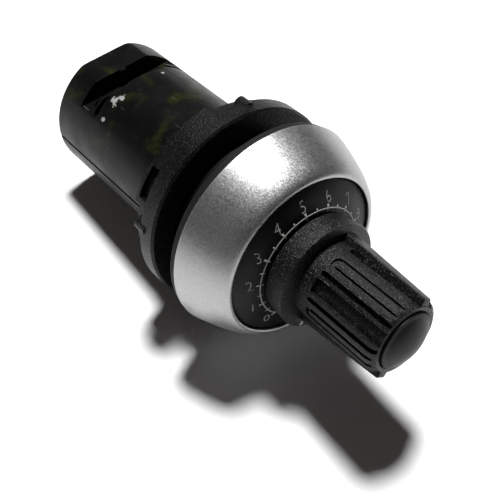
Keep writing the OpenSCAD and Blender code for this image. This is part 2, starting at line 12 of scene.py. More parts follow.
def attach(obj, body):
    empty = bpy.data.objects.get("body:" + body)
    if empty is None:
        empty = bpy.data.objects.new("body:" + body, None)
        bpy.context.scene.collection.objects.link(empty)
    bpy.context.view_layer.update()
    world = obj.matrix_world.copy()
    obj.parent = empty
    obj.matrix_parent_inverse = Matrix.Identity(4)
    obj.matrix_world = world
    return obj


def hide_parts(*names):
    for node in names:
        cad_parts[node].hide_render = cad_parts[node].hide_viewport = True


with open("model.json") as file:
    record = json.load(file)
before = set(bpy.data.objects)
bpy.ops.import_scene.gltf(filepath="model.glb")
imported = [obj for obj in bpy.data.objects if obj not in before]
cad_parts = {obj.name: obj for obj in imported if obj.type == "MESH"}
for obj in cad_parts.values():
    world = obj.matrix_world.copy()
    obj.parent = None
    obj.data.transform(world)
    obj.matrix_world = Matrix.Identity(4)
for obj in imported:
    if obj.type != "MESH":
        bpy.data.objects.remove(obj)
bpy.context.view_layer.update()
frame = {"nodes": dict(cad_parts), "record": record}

bl_info = {
    "name": "Rotary potentiometer",
    "version": (1, 0, 0),
    "blender": (4, 5, 0),
    "location": "View3D > Sidebar > Potentiometer",
    "description": "Builds the visible pieces and finishes of a panel potentiometer",
    "category": "Object",
}

MM = 0.001
# Points closer than this are merged
WELD = 2e-7
# Steps of a full turn
STEPS = 192
# How far a cutter reaches past what it cuts
PAST = 1 * MM
# Depth of the ledge round the dial's seat
LEDGE = 0.4 * MM
# Edges sharper than this are bevelled
SHARP = math.radians(30)
# Height of a figure beside the size of its type
FIGURE = 0.7
SPINDLE = (0.0, 1.0, 0.0)
CENTRE = (0.0, 0.0, 0.0)


def length(name, description, millimetres):
    """A length that a user can set, given in millimetres."""
    return FloatProperty(name=name, description=description, default=millimetres * MM, unit="LENGTH",
                         precision=5)


def turn(name, description, degrees):
    """An angle that a user can set, given in degrees clockwise from the top."""
    return FloatProperty(name=name, description=description, default=math.radians(degrees),
                         subtype="ANGLE")


def tint(name, description, colour):
    """A colour that a user can set."""
    return FloatVectorProperty(name=name, description=description, default=colour, subtype="COLOR",
                               min=0.0, max=1.0)


def share(name, description, value):
    """A number from 0 to 1 that a user can set."""
    return FloatProperty(name=name, description=description, default=value, min=0.0, max=1.0,
                         subtype="FACTOR")


class BezelSettings(bpy.types.PropertyGroup):
    """The satin ring and the seal behind it"""
    outer_radius: length("Outer radius", "Radius of the ring at its rear edge", 14.85)
    depth: length("Depth", "Depth of the ring from its rear edge to its lip", 6.86)
    lip_radius: length("Lip radius", "Radius of the ring's opening", 11.24)
    rear: length("Rear station", "Distance of the ring's rear edge from the panel", 1.3)
    wall: length("Wall", "Width of the flat at the rear edge", 1.4)
    inner_depth: length("Inner depth", "Depth of the straight wall inside the ring", 2.3)
    seal_radius: length("Seal radius", "Outer radius of the seal behind the ring", 14.6)
    seal_bore: length("Seal bore", "Radius of the hole in the seal", 11.05)


class DialSettings(bpy.types.PropertyGroup):
    """The numbered plate"""
    radius: length("Radius", "Radius of the plate", 11.1)
    rim: length("Rim thickness", "Thickness of the plate at its rim", 1.0)
    seat: length("Seat station", "Station of the ledge that carries the plate", 7.0)
    hub_radius: length("Hub radius", "Radius where the cone meets the flat hub", 7.78)
    rise: length("Rise", "Rise of the cone from its rim to its hub", 1.3)
    hole: length("Hole radius", "Radius of the hole for the spindle", 2.8)
    bevel: length("Bevel", "Bevel round the rim", 0.25)
    sweep: turn("Scale sweep", "Angle from the first number to the last", 260)
    arc_radius: length("Arc radius", "Radius of the printed arc", 7.8)
    number_radius: length("Number radius", "Radius of the numbers' middles", 9.05)
    number_height: length("Number height", "Height of the printed numbers", 1.6)
    number_width: share("Number width", "Width of the numbers as a share of the type's own", 0.8)
    numbers: IntProperty(name="Numbers", description="Steps from the first number to the last", default=10)


class KnobSettings(bpy.types.PropertyGroup):
    """The fluted knob with its two wings"""
    skirt_rear: length("Skirt rear", "Station of the skirt's rear face", 9.6)
    skirt_radius: length("Skirt radius", "Radius of the skirt at its front rim", 7.5)
    skirt_length: length("Skirt length", "Length of the skirt", 3.1)
    grip_length: length("Grip length", "Length of the grip in front of the skirt", 13.0)
    grip_collar: length("Grip collar", "Length of the round collar at the grip's base", 2.0)
    wing_radius: length("Wing radius", "Radius of the wings at the skirt", 6.25)
    wing_end_radius: length("Wing end radius", "Radius of the wings at their front", 5.55)
    wing_thickness: length("Wing thickness", "Thickness of the wings at the skirt", 2.1)
    wing_end_thickness: length("Wing end thickness", "Thickness of the wings at their front", 1.5)
    land_radius: length("Land radius", "Radius of the lands between the flutes", 5.3)
    flute_radius: length("Flute radius", "Radius at the bottom of the flutes", 4.6)
    rib_width: length("Rib width", "Width of the narrow ribs", 0.8)
    groove_width: length("Groove width", "Width of the grooves beside the ribs", 0.5)
    groove_depth: length("Groove depth", "Depth of the grooves beside the ribs", 0.35)
    pointer: turn("Pointer", "Where the pointer stands at the first stop", -139)
    bore: length("Bore", "Radius of the bore for the collet", 3.15)
    pocket: length("Pocket", "Radius of the pocket for the collet's nut", 3.9)
    pocket_depth: length("Pocket depth", "Depth of the pocket for the collet's nut", 3.2)
    mouth: length("Mouth bevel", "Bevel round the mouth of the cap's pocket", 0.2)
    grip_bevel: length("Grip bevel", "Bevel round the grip's front end", 0.7)
    cap_radius: length("Cap radius", "Radius of the domed cap", 3.85)
    cap_height: length("Cap height", "Height of the cap above the grip", 1.5)
    cap_rim: length("Cap rim", "Radius of the cap's rim in front of the grip", 3.9)
    cap_side: length("Cap side", "Height of the cap's straight side above the grip", 0.32)
    cap_bevel: length("Cap bevel", "Width of the bevel between the cap's side and its dome", 0.4)
    cap_spigot: length("Cap spigot", "Length of the cap in the knob's pocket", 2.2)


class BodySettings(bpy.types.PropertyGroup):
    """The front moulding with its threaded neck, and the ring nut"""
    neck_radius: length("Neck radius", "Outer radius of the thread on the neck", 11.0)
    neck_length: length("Neck length", "Length of the neck behind the panel", 11.0)
    neck_bore: length("Neck bore", "Radius of the cavity in the neck", 8.9)
    collar: length("Collar", "Length of the neck's plain collar", 3.0)
    groove: length("Groove", "Depth of the grooves on both sides of the collar", 0.5)
    groove_width: length("Groove width", "Width of the groove between collar and thread", 0.8)
    pitch: length("Pitch", "Pitch of the thread", 1.5)
    thread_depth: length("Thread depth", "Depth of the thread", 0.75)
    web_rear: length("Web rear", "Station of the web's rear face", 2.0)
    web_thickness: length("Web thickness", "Thickness of the web", 2.5)
    web_bore: length("Web bore", "Radius of the hole in the web", 3.55)
    nut_radius: length("Nut radius", "Radius of the ring nut's flange", 14.45)
    nut_front: length("Nut front", "Station of the ring nut's front face", -3.9)
    nut_flange: length("Nut flange", "Thickness of the ring nut's flange", 2.6)
    nut_thickness: length("Nut thickness", "Thickness of the ring nut", 4.9)
    nut_band: length("Nut band", "Radius of the ring nut's rear band", 13.2)
    nut_bore: length("Nut bore", "Radius of the ring nut's bore", 11.05)
    block_radius: length("Block radius", "Radius of the wide blocks", 14.3)
    block_step: length("Block step", "Step from the band's rear face to the blocks' rear faces", 0.2)
    block_angle: turn("Block angle", "Angle that each wide block covers", 60)
    block_middle: turn("Block middle", "Angle of the first wide block's middle", -32)
    pocket_angle: turn("Pocket angle", "Angle that the pocket in each block covers", 18)
    pocket_wall: length("Pocket wall", "Wall round the pocket in each block", 0.5)
    pocket_depth: length("Pocket depth", "Depth of the pocket in each block", 0.8)
    lug_angle: turn("Lug angle", "Angle of the first half-round lug", 17)
    lug_radius: length("Lug radius", "Radius of the half-round lugs", 0.95)
    lug_reach: length("Lug reach", "Radius that the half-round lugs reach", 14.65)
    lug_length: length("Lug length", "Length of the lugs behind the flange", 1.1)


class BarrelSettings(bpy.types.PropertyGroup):
    """The rear moulding with its wiring slot"""
    radius: length("Radius", "Radius of the barrel", 9.95)
    length: length("Length", "Length behind the panel", 34.7)
    wall: length("Wall", "Wall round the cavity", 1.75)
    spigot: length("Spigot", "Length of the spigot in the neck", 3.0)
    rounding: length("Rounding", "Rounding of the rear edge", 0.5)
    flat_height: length("Flat height", "Height of the flat above the axis", 8.99)
    flat_length: length("Flat length", "Length of the flat from the rear face", 9.3)
    slot_floor: length("Slot floor", "Height of the slot's floor above the axis", 6.4)
    roof_length: length("Roof length", "Length of the roof behind the slot", 4.8)
    slot_width: length("Slot width", "Width of the slot along the barrel", 3.9)
    lip_thickness: length("Lip thickness", "Thickness of the lip in the slot", 0.4)
    lip_inset: length("Lip inset", "Distance from the slot's front wall to its lip", 0.75)
    lip_height: length("Lip height", "Height of the lip", 1.9)
    nub_radius: length("Nub radius", "Radius of the nub on the edge of the roof", 0.5)
    seam_width: length("Seam width", "Width of the moulding line", 0.5)
    seam_depth: length("Seam depth", "Depth of the moulding line", 0.15)
    pocket_front: length("Pocket front", "Station of the terminal pockets' open end", -24.0)
    pocket_rear: length("Pocket rear", "Station of the terminal pockets' floor", -31.2)
    pocket_width: length("Pocket width", "Width of each terminal pocket", 4.2)
    pocket_top: length("Pocket top", "Height of the pockets' top above the axis", 4.0)
    pocket_bottom: length("Pocket bottom", "Depth of the pockets' bottom below the axis", 2.0)
    terminal_pitch: length("Terminal pitch", "Distance from terminal to terminal", 5.0)
    wire_radius: length("Wire radius", "Radius of each wire hole", 1.1)
    screw_height: length("Screw height", "Height of the clamp screws above the axis", 1.6)
    well_radius: length("Well radius", "Radius of each screw's well", 2.2)
    well_depth: length("Well depth", "Depth of each screw's well", 2.7)
    shank_radius: length("Shank radius", "Radius of the hole for each screw's shank", 1.6)


class FinishSettings(bpy.types.PropertyGroup):
    """Colours of the mouldings and metals"""
    knob: tint("Knob", "Black moulding of the knob", (0.0035, 0.0035, 0.0042))
    cap: tint("Cap", "Smooth dark moulding of the cap", (0.006, 0.006, 0.0072))
    dial: tint("Dial", "Black moulding of the dial", (0.0025, 0.0025, 0.0032))
    bezel: tint("Bezel", "Satin silver of the bezel", (0.51, 0.51, 0.515))
    body: tint("Front body", "Black moulding of the front body", (0.003, 0.003, 0.0034))
    barrel: tint("Barrel", "Black moulding of the barrel", (0.0035, 0.0036, 0.0038))
    stain: tint("Stain", "Greenish stain on the barrel", (0.020, 0.025, 0.005))
    nut: tint("Ring nut", "Black moulding of the ring nut", (0.002, 0.002, 0.0024))
    seal: tint("Seal", "Grey-black rubber of the seals", (0.012, 0.012, 0.013))
    ink: tint("Print", "Pale ink of the scale", (0.42, 0.42, 0.40))
    mark: tint("Mark", "White ink of the pointer's mark", (0.72, 0.72, 0.70))
    wear: share("Wear", "How pale worn edges turn", 0.5)
    # Painted highlight: pale patches beside the wiring slot stand in for the highlight along the slot's lip.
    chip: tint("Chips", "Pale chips beside the wiring slot", (0.40, 0.40, 0.38))
    chip_radius: length("Chip radius", "Distance of the chips from the axis", 9.95)


class StageSettings(bpy.types.PropertyGroup):
    """Floor, lights and camera"""
    camera_place: FloatVectorProperty(name="Camera place", description="Where the camera stands",
                                      default=(-46.78 * MM, -66.53 * MM, 83.34 * MM),
                                      subtype="TRANSLATION", precision=5)
    camera_turn: FloatVectorProperty(name="Camera turn", description="How the camera is turned",
                                     default=[math.radians(a) for a in (42.425, 4.843, -39.06)],
                                     subtype="EULER")
    lens: FloatProperty(name="Lens", description="Focal length on a 36 mm sensor", default=64.54,
                        unit="CAMERA")
    floor_size: length("Floor size", "Width of the floor", 1600)
    floor: tint("Floor", "Pale floor", (0.92, 0.92, 0.92))
    floor_seen: FloatProperty(name="Floor as seen", description="How pale the floor is to the camera",
                              default=1.25, min=0.0)


def spot(radius, angle, station):
    """The place at a radius, an angle clockwise from the top and a station along the spindle."""
    return Vector((radius * math.sin(angle), -station, radius * math.cos(angle)))


def curve(start, start_handle, end_handle, end, count):
    """Points on a curve with two handles between two ends."""
    points = []
    for i in range(count + 1):
        t = i / count
        u = 1 - t
        weights = (u * u * u, 3 * u * u * t, 3 * u * t * t, t * t * t)
        corners = (start, start_handle, end_handle, end)
        points.append(tuple(sum(w * c[k] for w, c in zip(weights, corners)) for k in (0, 1)))
    return points


def arc(centre, radius, start, end, count):
    """Points of an arc in radius and station; its angles run from the radial direction to the front."""
    steps = [start + (end - start) * i / count for i in range(count + 1)]
    return [(centre[0] + radius * math.cos(a), centre[1] + radius * math.sin(a)) for a in steps]


def turned(outline, closed=True, start=0.0, sweep=math.tau, steps=STEPS):
    """A bmesh of an outline of radii and stations, spun clockwise round the spindle."""
    bm = bmesh.new()
    ring = [bm.verts.new(spot(r, start, s)) for r, s in outline]
    edges = [bm.edges.new(pair) for pair in zip(ring, ring[1:])]
    if closed:
        edges.append(bm.edges.new((ring[-1], ring[0])))
    whole = math.isclose(sweep, math.tau)
    bmesh.ops.spin(bm, geom=ring + edges, cent=CENTRE, axis=SPINDLE, angle=sweep, steps=steps,
                   use_merge=whole)
    bmesh.ops.remove_doubles(bm, verts=bm.verts, dist=WELD)
    if not whole:
        bmesh.ops.holes_fill(bm, edges=[e for e in bm.edges if e.is_boundary])
    bmesh.ops.recalc_face_normals(bm, faces=bm.faces)
    return bm


def block(low, high):
    """A block between two corners, each given as across, station and height."""
    bm = bmesh.new()
    bmesh.ops.create_cube(bm, size=1.0)
    size = [abs(b - a) for a, b in zip(low, high)]
    middle = [(a + b) / 2 for a, b in zip(low, high)]
    bmesh.ops.scale(bm, vec=size, verts=bm.verts)
    bmesh.ops.translate(bm, vec=(middle[0], -middle[1], middle[2]), verts=bm.verts)
    return bm


def rod(radius, start, end, count=64):
    """A round rod between two places."""
    bm = bmesh.new()
    start, end = Vector(start), Vector(end)
    run = end - start
    bmesh.ops.create_cone(bm, cap_ends=True, segments=count, radius1=radius, radius2=radius,
                          depth=run.length)
    spin = run.to_track_quat("Z", "Y").to_matrix()
    bmesh.ops.rotate(bm, cent=CENTRE, matrix=spin, verts=bm.verts)
    bmesh.ops.translate(bm, vec=(start + end) / 2, verts=bm.verts)
    return bm


def turn_all(bm, angle):
    """Turns a bmesh clockwise round the spindle."""
    bmesh.ops.rotate(bm, cent=CENTRE, matrix=Matrix.Rotation(angle, 3, Vector(SPINDLE)), verts=bm.verts)


def loose_object(name, bm):
    """A plain object of a bmesh, which is used up."""
    mesh = bpy.data.meshes.new(name)
    bm.to_mesh(mesh)
    bm.free()
    made = bpy.data.objects.new(name, mesh)
    bpy.context.scene.collection.objects.link(made)
    return made


def combined(bm, others, operation):
    """A closed bmesh with others joined to it or cut from it, one after the other."""
    for other in others:
        first = loose_object("first", bm)
        second = loose_object("second", other)
        cut = first.modifiers.new("cut", "BOOLEAN")
        cut.operation = operation
        cut.solver = "EXACT"
        cut.object = second
        bm = bmesh.new()
        bm.from_object(first, bpy.context.evaluated_depsgraph_get())
        for used in (first, second):
            mesh = used.data
            bpy.data.objects.remove(used)
            bpy.data.meshes.remove(mesh)
    bmesh.ops.remove_doubles(bm, verts=bm.verts, dist=WELD)
    return bm


def joined(shapes):
    """One bmesh of several that don't touch."""
    bm = bmesh.new()
    for shape in shapes:
        mesh = bpy.data.meshes.new("shape")
        shape.to_mesh(mesh)
        shape.free()
        bm.from_mesh(mesh)
        bpy.data.meshes.remove(mesh)
    return bm


def piece(name, bm, body, slot, stands_for=(), edge=0.0):
    """Makes a bmesh a finished piece that rides on a body and stands for its nodes."""
    made = loose_object(name, bm)
    made.data.materials.append(finish(slot))
    made.data.shade_smooth()
    if edge:
        bevel = made.modifiers.new("edges", "BEVEL")
        bevel.width = edge
        bevel.segments = 2
        bevel.limit_method = "ANGLE"
        bevel.angle_limit = SHARP
        bevel.harden_normals = True
    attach(made, body)
    if stands_for:
        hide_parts(*stands_for)


FLOAT = "NodeSocketFloat"
VECTOR = "NodeSocketVector"
DUST = (0.42, 0.42, 0.4)
# How much paler than the moulding a worn edge is
RUBBED = 0.035


def add(tree, kind, inputs=None, **attributes):
    """Adds a node; each input is a value or the output that feeds it."""
    made = tree.nodes.new(kind)
    for name, value in attributes.items():
        setattr(made, name, value)
    for name, value in (inputs or {}).items():
        if isinstance(value, bpy.types.NodeSocket):
            tree.links.new(value, made.inputs[name])
        else:
            made.inputs[name].default_value = value
    return made


def maths(tree, operation, first, second=0.0, clamp=False):
    """The result of one sum."""
    made = add(tree, "ShaderNodeMath", {0: first, 1: second}, operation=operation)
    made.use_clamp = clamp
    return made.outputs[0]


def product(tree, first, *others):
    """Values from 0 to 1 multiplied with each other."""
    for other in others:
        first = maths(tree, "MULTIPLY", first, other, clamp=True)
    return first


def vectors(tree, operation, first, second=None, output="Vector"):
    """The result of one sum with vectors; SCALE takes a number as its second."""
    inputs = {0: first}
    if second is not None:
        inputs["Scale" if operation == "SCALE" else 1] = second
    return add(tree, "ShaderNodeVectorMath", inputs, operation=operation).outputs[output]


def ramp(tree, value, low, high, start=0.0, end=1.0):
    """A value spread from one range to another, held at its ends."""
    return add(tree, "ShaderNodeMapRange", {"Value": value, "From Min": low, "From Max": high,
                                            "To Min": start, "To Max": end}).outputs["Result"]


def noise(tree, place, scale, detail, **more):
    """The strength of a noise at a place."""
    inputs = {"Vector": place, "Scale": scale, "Detail": detail, **more}
    return add(tree, "ShaderNodeTexNoise", inputs).outputs["Fac"]


def cells(tree, place, size):
    """Random cells of a size: their colours and the distance to their middles."""
    scale = maths(tree, "DIVIDE", 1.0, size)
    return add(tree, "ShaderNodeTexVoronoi", {"Vector": place, "Scale": scale}).outputs


def channel(tree, colour, index):
    """One channel of a colour."""
    return add(tree, "ShaderNodeSeparateColor", {"Color": colour}).outputs[index]


def blended(tree, mask, below, above):
    """Two colours mixed by a mask."""
    made = tree.nodes.new("ShaderNodeMix")
    made.data_type = "RGBA"
    for index, value in ((0, mask), (6, below), (7, above)):
        if isinstance(value, bpy.types.NodeSocket):
            tree.links.new(value, made.inputs[index])
        else:
            made.inputs[index].default_value = value if index == 0 else (*value, 1.0)
    return made.outputs[2]


GROUPS = {}


def shared(name, **inputs):
    """Keeps the maker of a node group with these inputs; it returns the group's outputs by name."""
    def keep(maker):
        GROUPS[name] = (maker, inputs)
        return maker
    return keep


def group(name):
    """A new node group from its maker, with named sockets."""
    maker, inputs = GROUPS[name]
    tree = bpy.data.node_groups.new(name, "ShaderNodeTree")
    for label, value in inputs.items():
        kind = VECTOR if isinstance(value, tuple) else FLOAT
        tree.interface.new_socket(label, in_out="INPUT", socket_type=kind).default_value = value
    feed = tree.nodes.new("NodeGroupInput").outputs
    outputs = maker(tree, feed, add(tree, "ShaderNodeTexCoord").outputs["Object"])
    for label, source in outputs.items():
        kind = VECTOR if source.type == "VECTOR" else FLOAT
        tree.interface.new_socket(label, in_out="OUTPUT", socket_type=kind)
    result = tree.nodes.new("NodeGroupOutput").inputs
    for label, source in outputs.items():
        tree.links.new(source, result[label])
    return tree


@shared("Moulded grain", Size=0.0002, Depth=0.00001, Roughness=0.5, Spread=0.1)
def moulded_grain(tree, feed, place):
    """The fine sparked texture of a moulding: small pits and patches of gloss."""
    scale = maths(tree, "DIVIDE", 1.0, feed["Size"])
    pits = noise(tree, place, scale, 2.0, Roughness=0.55)
    patches = maths(tree, "SUBTRACT", noise(tree, place, 420.0, 3.0), 0.5)
    spread = maths(tree, "MULTIPLY", maths(tree, "MULTIPLY", patches, feed["Spread"]), 2.0)
    bump = add(tree, "ShaderNodeBump", {"Height": pits, "Distance": feed["Depth"], "Strength": 1.0})
    return {"Roughness": maths(tree, "ADD", feed["Roughness"], spread, clamp=True),
            "Normal": bump.outputs["Normal"],
            "Peaks": ramp(tree, pits, 0.57, 0.68)}


@shared("Edge wear", Reach=0.00015, Amount=0.5)
def edge_wear(tree, feed, place):
    """Where sharp edges are rubbed pale, broken up along their length."""
    rounded = add(tree, "ShaderNodeBevel", {"Radius": feed["Reach"]}, samples=4).outputs["Normal"]
    flat = add(tree, "ShaderNodeNewGeometry").outputs["Normal"]
    turned_away = maths(tree, "SUBTRACT", 1.0, vectors(tree, "DOT_PRODUCT", rounded, flat, "Value"))
    broken = ramp(tree, noise(tree, place, 900.0, 4.0), 0.48, 0.62)
    return {"Mask": product(tree, ramp(tree, turned_away, 0.02, 0.2), broken, feed["Amount"])}


@shared("Dust specks", Spacing=0.0016, Size=0.05, Amount=0.5)
def dust_specks(tree, feed, place):
    """Fine pale specks of dust, thinly and unevenly scattered."""
    found = cells(tree, place, feed["Spacing"])
    size = product(tree, feed["Size"], ramp(tree, channel(tree, found["Color"], 0), 0.55, 1.0))
    speck = maths(tree, "LESS_THAN", found["Distance"], size)
    return {"Mask": product(tree, speck, feed["Amount"])}


@shared("Metal flake", Size=0.0001, Lean=0.2, Roughness=0.35)
def metal_flake(tree, feed, place):
    """The sparkle of metal flakes in a satin coat: each tiny cell leans its own way."""
    flakes = cells(tree, place, feed["Size"])["Color"]
    lean = vectors(tree, "SUBTRACT", flakes, (0.5, 0.5, 0.5))
    flat = add(tree, "ShaderNodeNewGeometry").outputs["Normal"]
    leaned = vectors(tree, "ADD", flat, vectors(tree, "SCALE", lean, feed["Lean"]))
    shade = channel(tree, flakes, 1)
    spread = ramp(tree, shade, 0.0, 1.0, -0.06, 0.06)
    return {"Roughness": maths(tree, "ADD", feed["Roughness"], spread, clamp=True),
            "Normal": vectors(tree, "NORMALIZE", leaned),
            "Shade": shade}


@shared("Scuffs", Scale=260.0, Amount=0.5)
def scuffs(tree, feed, place):
    """Thin scratches that run mostly one way."""
    stretched = add(tree, "ShaderNodeMapping", {"Vector": place, "Scale": (1.0, 0.08, 1.0),
                                                "Rotation": (0.0, 0.4, 0.5)}).outputs["Vector"]
    finer = maths(tree, "MULTIPLY", feed["Scale"], 9.0)
    lines = ramp(tree, noise(tree, stretched, finer, 1.0), 0.70, 0.76)
    areas = ramp(tree, noise(tree, place, feed["Scale"], 2.0), 0.5, 0.6)
    return {"Mask": product(tree, lines, areas, feed["Amount"])}


@shared("Stains", Scale=150.0, Amount=0.5)
def stains(tree, feed, place):
    """Dull patches left by handling, strongest in a few places."""
    patches = noise(tree, place, feed["Scale"], 5.0, Roughness=0.65, Distortion=0.6)
    return {"Mask": product(tree, ramp(tree, patches, 0.52, 0.66), feed["Amount"])}


@shared("Pale chip", Centre=(0.0, 0.0, 0.0), Reach=0.001)
def pale_chip(tree, feed, place):
    """A pale patch of painted highlight round one place, with a ragged edge."""
    away = vectors(tree, "DISTANCE", place, feed["Centre"], "Value")
    ragged = maths(tree, "SUBTRACT", noise(tree, place, 1600.0, 3.0), 0.5)
    torn = maths(tree, "ADD", maths(tree, "DIVIDE", away, feed["Reach"]),
                 maths(tree, "MULTIPLY", ragged, 3.0))
    return {"Mask": ramp(tree, torn, 0.9, 0.7)}


def use(tree, name, **values):
    """Places a shared group in a material with its own values."""
    made = tree.nodes.new("ShaderNodeGroup")
    made.node_tree = bpy.data.node_groups.get(name) or group(name)
    for label, value in values.items():
        made.inputs[label].default_value = value
    return made.outputs


def blank(name):
    """A new material, its tree and its shader."""
    material = bpy.data.materials.new(name)
    material.use_nodes = True
    tree = material.node_tree
    return material, tree, tree.nodes["Principled BSDF"]


def dress(tree, shader, colour, surface, metallic=0.0, specular=0.5):
    """Gives a shader its colour, the roughness and normal of a surface, and its constants."""
    tree.links.new(colour, shader.inputs["Base Color"])
    tree.links.new(surface["Roughness"], shader.inputs["Roughness"])
    tree.links.new(surface["Normal"], shader.inputs["Normal"])
    shader.inputs["Metallic"].default_value = metallic
    shader.inputs["Specular IOR Level"].default_value = specular


def moulding(name, tone, grain, depth, roughness, worn=0.6, dust=0.3, specular=0.2, sparkle=0.0):
    """A black moulded plastic with grain whose peaks get a painted glint (paler colour standing in for their
    shine), worn edges and a little dust.
    """
    colours = bpy.context.scene.pot_finish
    colour = tuple(getattr(colours, tone))
    material, tree, shader = blank(name)
    surface = use(tree, "Moulded grain", Size=grain * MM, Depth=depth * MM, Roughness=roughness, Spread=0.1)
    edge = use(tree, "Edge wear", Reach=0.12 * MM, Amount=worn * colours.wear)["Mask"]
    specks = use(tree, "Dust specks", Amount=dust)["Mask"]
    # Painted glint: the grain's peaks are coloured paler to stand in for the sparkle of light on them.
    grain_with_painted_glint = blended(tree, surface["Peaks"], colour, tuple(sparkle + c for c in colour))
    shown = blended(tree, edge, grain_with_painted_glint, tuple(RUBBED + c for c in colour))
    dress(tree, shader, blended(tree, specks, shown, DUST), surface, specular=specular)
    return material


# The angle, the station and the reach in millimetres of each pale patch of painted highlight on the barrel
PAINTED_HIGHLIGHTS = ((-28, -24.6, 0.75), (-23, -24.0, 0.5), (-45, -24.5, 0.45), (19, -24.3, 0.25))


def stained_moulding(name):
    """Black plastic of the barrel, with greenish stains, pale scuffs and pale patches of painted highlight
    beside the slot.
    """
    colours = bpy.context.scene.pot_finish
    material, tree, shader = blank(name)
    surface = use(tree, "Moulded grain", Size=0.22 * MM, Depth=0.035 * MM, Roughness=0.4, Spread=0.16)
    masks = (
        (use(tree, "Stains", Scale=240.0, Amount=0.75), tuple(colours.stain)),
        (use(tree, "Edge wear", Reach=0.15 * MM, Amount=colours.wear), (0.08, 0.08, 0.075)),
        (use(tree, "Scuffs", Amount=0.35), (0.3, 0.3, 0.28)),
        # Painted highlight: pale patches along the slot's lip stand in for the highlight on its edge.
        *((use(tree, "Pale chip", Centre=spot(colours.chip_radius, math.radians(angle), station * MM),
               Reach=reach * MM), tuple(colours.chip)) for angle, station, reach in PAINTED_HIGHLIGHTS),
        (use(tree, "Dust specks", Amount=0.4), DUST),
    )
    shown = tuple(colours.barrel)
    for mask, colour in masks:
        shown = blended(tree, mask["Mask"], shown, colour)
    dress(tree, shader, shown, surface, specular=0.12)
    return material


def satin_metal(name):
    """Satin metallic silver with a fine sparkle."""
    silver = tuple(bpy.context.scene.pot_finish.bezel)
    material, tree, shader = blank(name)
    flakes = use(tree, "Metal flake", Size=0.1 * MM, Lean=0.09, Roughness=0.43)
    specks = use(tree, "Dust specks", Spacing=2.2 * MM, Amount=0.35)["Mask"]
    shade = blended(tree, flakes["Shade"], tuple(c * 0.72 for c in silver), silver)
    dress(tree, shader, blended(tree, specks, shade, (0.1, 0.1, 0.1)), flakes, metallic=1.0)
    return material


def ink(name, tone):
    """Printed ink, a little uneven."""
    colour = tuple(getattr(bpy.context.scene.pot_finish, tone))
    material, tree, shader = blank(name)
    surface = use(tree, "Moulded grain", Size=0.12 * MM, Roughness=0.6, Spread=0.1)
    thin = use(tree, "Stains", Scale=1800.0, Amount=0.5)["Mask"]
    tree.links.new(blended(tree, thin, colour, tuple(c * 0.6 for c in colour)), shader.inputs["Base Color"])
    tree.links.new(surface["Roughness"], shader.inputs["Roughness"])
    return material


def patchy(name, colour, roughness, metallic=1.0, grain=0.09, spread=0.12, scale=400.0, dull=0.6, dark=0.72):
    """An inner part's metal with a fine grain and slightly dull patches, or its pale moulding."""
    material, tree, shader = blank(name)
    surface = use(tree, "Moulded grain", Size=grain * MM, Depth=0.008 * MM, Roughness=roughness,
                  Spread=spread)
    patches = use(tree, "Stains", Scale=scale, Amount=dull)["Mask"]
    shown = blended(tree, patches, colour, tuple(c * dark for c in colour))
    dress(tree, shader, shown, surface, metallic=metallic)
    return material


# What makes an inner moulding or laminate out of a patchy metal
MOULDED = {"metallic": 0.0, "grain": 0.2, "spread": 0.1, "scale": 300.0, "dull": 0.4, "dark": 0.7}
# How each finish is made and with what; grain and depth are in millimetres
# sparkle is how much paler the grain's peaks are painted, a painted glint.
FINISHES = {
    "knob_plastic": (moulding, {"tone": "knob", "grain": 0.19, "depth": 0.13, "roughness": 0.36,
                                "worn": 1.0, "dust": 0.5, "specular": 0.25, "sparkle": 0.09}),
    "cap_plastic": (moulding, {"tone": "cap", "grain": 0.2, "depth": 0.006, "roughness": 0.45,
                               "worn": 0.2, "specular": 0.22}),
    "dial_plastic": (moulding, {"tone": "dial", "grain": 0.18, "depth": 0.01, "roughness": 0.5,
                                "dust": 0.5}),
    "body_plastic": (moulding, {"tone": "body", "grain": 0.2, "depth": 0.01, "roughness": 0.5}),
    "nut_plastic": (moulding, {"tone": "nut", "grain": 0.21, "depth": 0.09, "roughness": 0.4,
                               "worn": 1.0, "sparkle": 0.03}),
    "seal_rubber": (moulding, {"tone": "seal", "grain": 0.25, "depth": 0.012, "roughness": 0.62,
                               "worn": 0.4}),
    "barrel_plastic": (stained_moulding, {}),
    "satin_silver": (satin_metal, {}),
    "scale_ink": (ink, {"tone": "ink"}),
    "mark_ink": (ink, {"tone": "mark"}),
    "brass": (patchy, {"colour": (0.72, 0.52, 0.24), "roughness": 0.32}),
    "plated_steel": (patchy, {"colour": (0.58, 0.58, 0.59), "roughness": 0.3}),
    "spring_steel": (patchy, {"colour": (0.32, 0.32, 0.34), "roughness": 0.38}),
    "contact_bronze": (patchy, {"colour": (0.75, 0.53, 0.28), "roughness": 0.3}),
    "tinned_brass": (patchy, {"colour": (0.66, 0.64, 0.58), "roughness": 0.35}),
    "natural_nylon": (patchy, {"colour": (0.7, 0.67, 0.58), "roughness": 0.5, **MOULDED}),
    "track_laminate": (patchy, {"colour": (0.24, 0.11, 0.045), "roughness": 0.55, **MOULDED}),
}
MADE = {}


def finish(name):
    """A finish by its slot's name, made once; the frame's plain materials have the same names."""
    if name not in MADE:
        maker, values = FINISHES[name]
        MADE[name] = maker(name, **values)
    return MADE[name]


